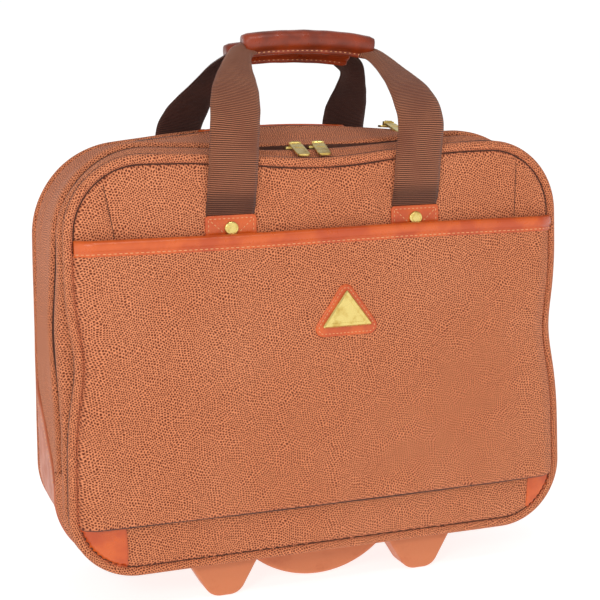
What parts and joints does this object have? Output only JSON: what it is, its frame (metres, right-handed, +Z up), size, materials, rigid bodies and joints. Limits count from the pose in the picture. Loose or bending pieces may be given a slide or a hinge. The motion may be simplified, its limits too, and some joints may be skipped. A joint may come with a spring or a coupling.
{
  "type": "rolling flight case",
  "caption": "Soft-sided wheeled flight case with a fold-down zipped front, open front pocket, paired carry handles, telescopic pull handle, rear wheels and front feet.",
  "frame": {"origin": "middle of the bounding box, on the floor that the feet and wheels stand on", "axes": "+X to the right seen from the front, +Y from front to back, +Z up"},
  "size_m": [0.43, 0.173, 0.454],
  "materials": {
    "dimpled_suede": "faux suede with fine dark dimples",
    "trim_leather": "smooth, slightly glossy tan leatherette",
    "webbing": "ribbed dark brown nylon webbing",
    "zip_tape": "dark brown woven tape with moulded teeth",
    "lining": "plain woven brown lining",
    "board": "textured sheet",
    "brass": "polished pale gold plating",
    "tan_plastic": "moulded, fine grain",
    "brown_plastic": "moulded, satin",
    "aluminium": "satin anodised",
    "steel": "bright zinc",
    "hub_plastic": "moulded",
    "tyre": "soft polyurethane"
  },
  "bodies": {
    "case": {"main_gusset": "dimpled_suede", "front_panel_lower": "dimpled_suede", "back_panel": "dimpled_suede", "front_piping_lower": "dimpled_suede", "back_piping": "dimpled_suede", "case_zip_tape": "zip_tape", "rear_zip": "zip_tape", "pocket_hem": "dimpled_suede", "corner_patches": "trim_leather", "side_guards": "trim_leather", "case_lining": "lining", "base_board": "board", "laptop_divider": "lining", "divider_strap": "webbing", "frame_board": "board", "outer_tubes": "aluminium", "trolley_bezel": "brown_plastic", "trolley_base": "brown_plastic", "skid": "tan_plastic", "foot_left": "tan_plastic", "foot_right": "tan_plastic", "base_screws": "steel", "wheel_housing_left": "brown_plastic", "wheel_housing_right": "brown_plastic", "axles": "steel", "rear_tabs": "trim_leather", "rear_rivets": "brass"},
    "lid": {"lid_gusset": "dimpled_suede", "front_panel_upper": "dimpled_suede", "front_piping_upper": "dimpled_suede", "lid_zip_tape": "zip_tape", "pocket_panel": "dimpled_suede", "pocket_binding": "trim_leather", "badge_patch": "trim_leather", "badge_plate": "brass", "lid_lining": "lining", "organizer_panel": "lining", "front_tabs": "trim_leather", "front_rivets": "brass"},
    "front_handle": {"front_webbing": "webbing", "front_grip": "trim_leather"},
    "rear_handle": {"rear_webbing": "webbing", "rear_grip": "trim_leather"},
    "trolley_stage1": {"mid_tubes": "aluminium", "mid_collars": "brown_plastic"},
    "trolley_stage2": {"inner_tubes": "aluminium", "trolley_grip": "brown_plastic"},
    "button": {"release_button": "brown_plastic"},
    "wheel_left": {"tyre_left": "tyre", "hub_left": "hub_plastic", "bearings_left": "steel"},
    "wheel_right": {"tyre_right": "tyre", "hub_right": "hub_plastic", "bearings_right": "steel"},
    "left_slider": {"slider_left": "brass"},
    "right_slider": {"slider_right": "brass"},
    "left_pull": {"pull_left": "brass"},
    "right_pull": {"pull_right": "brass"},
    "back_slider": {"rear_slider": "brass"},
    "back_pull": {"rear_pull": "brass"}
  },
  "joints": [
    {"name": "flap_fold", "type": "hinge", "parent": "case", "child": "lid", "pos_m": [0, -0.08, 0.11], "axis": [1, 0, 0], "range_deg": [0, 45]},
    {"name": "front_handle_swing", "type": "hinge", "parent": "lid", "child": "front_handle", "pos_m": [0, -0.077, 0.3166], "axis": [1, 0, 0], "range_deg": [0, 155]},
    {"name": "rear_handle_swing", "type": "hinge", "parent": "case", "child": "rear_handle", "pos_m": [0, 0.085, 0.3166], "axis": [-1, 0, 0], "range_deg": [0, 155]},
    {"name": "trolley_lower_slide", "type": "slide", "parent": "case", "child": "trolley_stage1", "axis": [0, 0, 1], "range_m": [0, 0.26]},
    {"name": "trolley_upper_slide", "type": "slide", "parent": "trolley_stage1", "child": "trolley_stage2", "axis": [0, 0, 1], "range_m": [0, 0.26]},
    {"name": "release_button_press", "type": "slide", "parent": "trolley_stage2", "child": "button", "axis": [0, 0, -1], "range_m": [0, 0.004], "stiffness_N_per_m": 300, "springref_m": -0.002},
    {"name": "left_wheel_spin", "type": "hinge", "parent": "case", "child": "wheel_left", "pos_m": [-0.149, 0.057, 0.024], "axis": [1, 0, 0], "continuous": true},
    {"name": "right_wheel_spin", "type": "hinge", "parent": "case", "child": "wheel_right", "pos_m": [0.149, 0.057, 0.024], "axis": [1, 0, 0], "continuous": true},
    {"name": "left_zip_slide", "type": "slide", "parent": "lid", "child": "left_slider", "axis": [-0.9991, 0, 0.0424], "range_m": [0, 0.05]},
    {"name": "right_zip_slide", "type": "slide", "parent": "lid", "child": "right_slider", "axis": [0.9991, 0, 0.0424], "range_m": [0, 0.05]},
    {"name": "left_pull_swing", "type": "hinge", "parent": "left_slider", "child": "left_pull", "pos_m": [-0.01017, -0.03259, 0.366], "axis": [-0.9945, 0.1045, 0], "range_deg": [0, 150]},
    {"name": "right_pull_swing", "type": "hinge", "parent": "right_slider", "child": "right_pull", "pos_m": [0.00972, -0.03258, 0.366], "axis": [-0.9848, 0.1736, 0], "range_deg": [0, 150]},
    {"name": "rear_zip_slide", "type": "slide", "parent": "case", "child": "back_slider", "axis": [-0.9966, 0, 0.0819], "range_m": [0, 0.04]},
    {"name": "rear_pull_swing", "type": "hinge", "parent": "back_slider", "child": "back_pull", "pos_m": [0.10034, 0.0314, 0.37789], "axis": [-0.9966, 0, 0.0819], "range_deg": [0, 110]}
  ]
}
